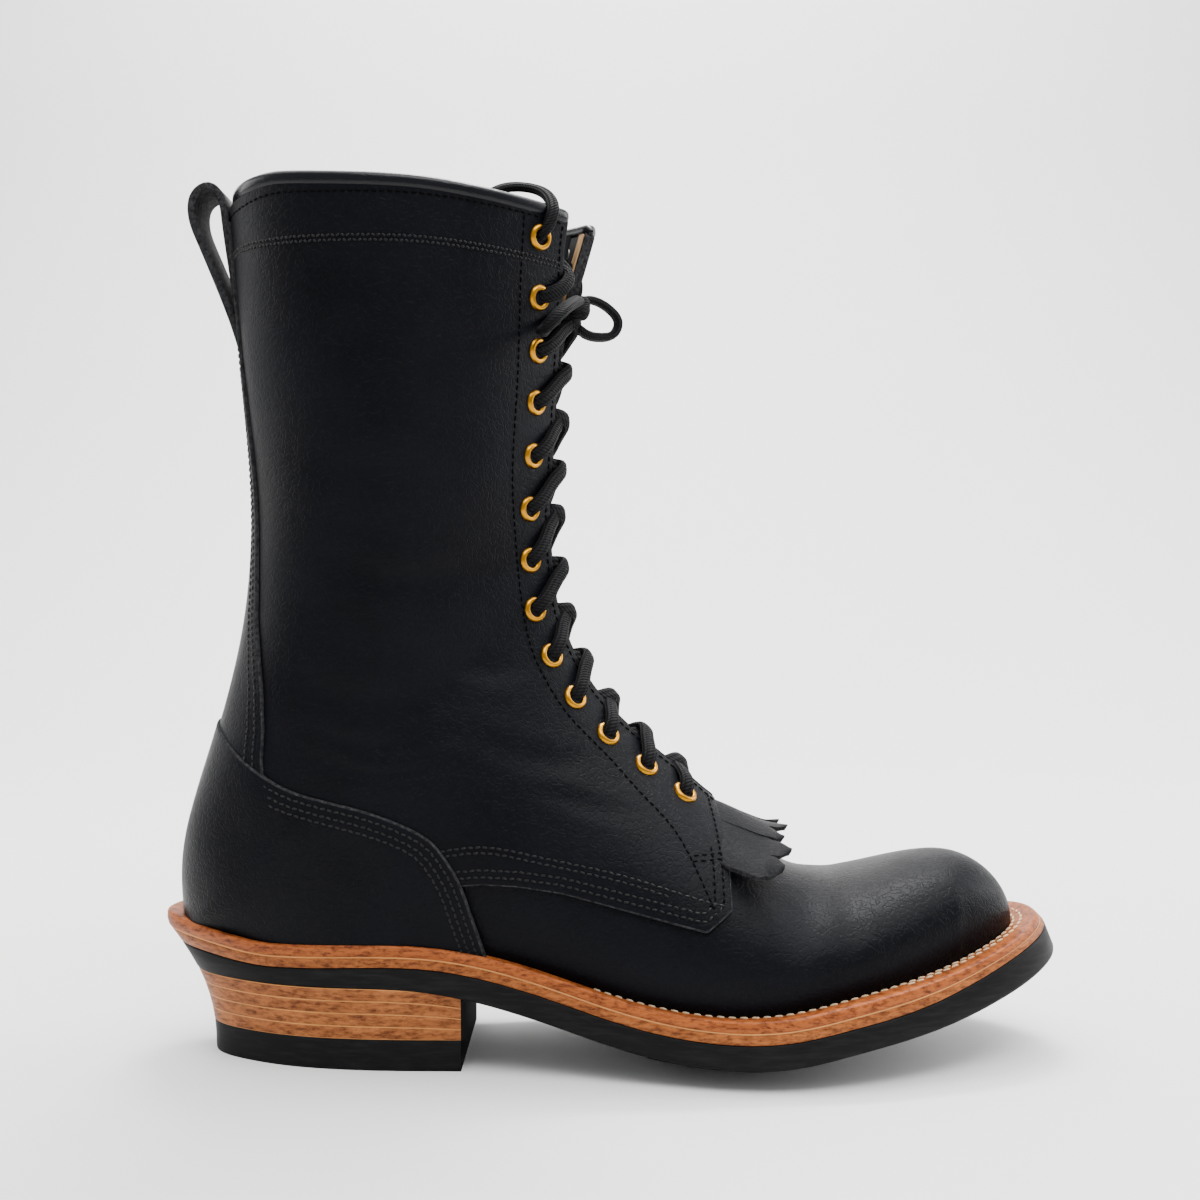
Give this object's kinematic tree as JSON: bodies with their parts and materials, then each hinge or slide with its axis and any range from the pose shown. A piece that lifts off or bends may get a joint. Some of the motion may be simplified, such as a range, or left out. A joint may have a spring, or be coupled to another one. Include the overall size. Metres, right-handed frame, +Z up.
{
  "type": "kiltie lace-up boot",
  "caption": "Tall black leather lace-up boot with a fringed kiltie, welted lugged sole and stacked heel; worn on the right foot, entered at the collar.",
  "frame": {"origin": "floor under the middle of the sole's box, halfway between heel and toe", "axes": "+X from heel to toe, +Y towards the inner side of the foot, +Z up"},
  "size_m": [0.31, 0.1151, 0.3002],
  "materials": {
    "black_leather": "oiled smooth leather, soft satin",
    "binding_leather": "smooth, slightly glossy",
    "tan_leather": "finished edge of natural sole leather",
    "insole_leather": "plain natural leather",
    "black_rubber": "matte",
    "brass": "polished",
    "lace_fabric": "ribbed flat weave"
  },
  "bodies": {
    "root": {"upper": "black_leather", "tongue": "black_leather", "kiltie": "black_leather", "heel_counter": "black_leather", "pull_strap": "black_leather", "welt": "tan_leather", "midsole": "tan_leather", "heel_lift_1": "tan_leather", "heel_lift_2": "tan_leather", "heel_lift_3": "tan_leather", "heel_lift_4": "tan_leather", "collar_binding": "binding_leather", "insole": "insole_leather", "outsole": "black_rubber", "heel_top_lift": "black_rubber", "eyelet_outer_01": "brass", "eyelet_outer_02": "brass", "eyelet_outer_03": "brass", "eyelet_outer_04": "brass", "eyelet_outer_05": "brass", "eyelet_outer_06": "brass", "eyelet_outer_07": "brass", "eyelet_outer_08": "brass", "eyelet_outer_09": "brass", "eyelet_outer_10": "brass", "eyelet_outer_11": "brass", "eyelet_outer_12": "brass", "eyelet_outer_13": "brass", "eyelet_inner_01": "brass", "eyelet_inner_02": "brass", "eyelet_inner_03": "brass", "eyelet_inner_04": "brass", "eyelet_inner_05": "brass", "eyelet_inner_06": "brass", "eyelet_inner_07": "brass", "eyelet_inner_08": "brass", "eyelet_inner_09": "brass", "eyelet_inner_10": "brass", "eyelet_inner_11": "brass", "eyelet_inner_12": "brass", "eyelet_inner_13": "brass", "lace": "lace_fabric", "lace_knot": "lace_fabric", "lace_loop_inner": "lace_fabric", "lace_loop_outer": "lace_fabric", "lace_end": "lace_fabric"}
  },
  "joints": []
}
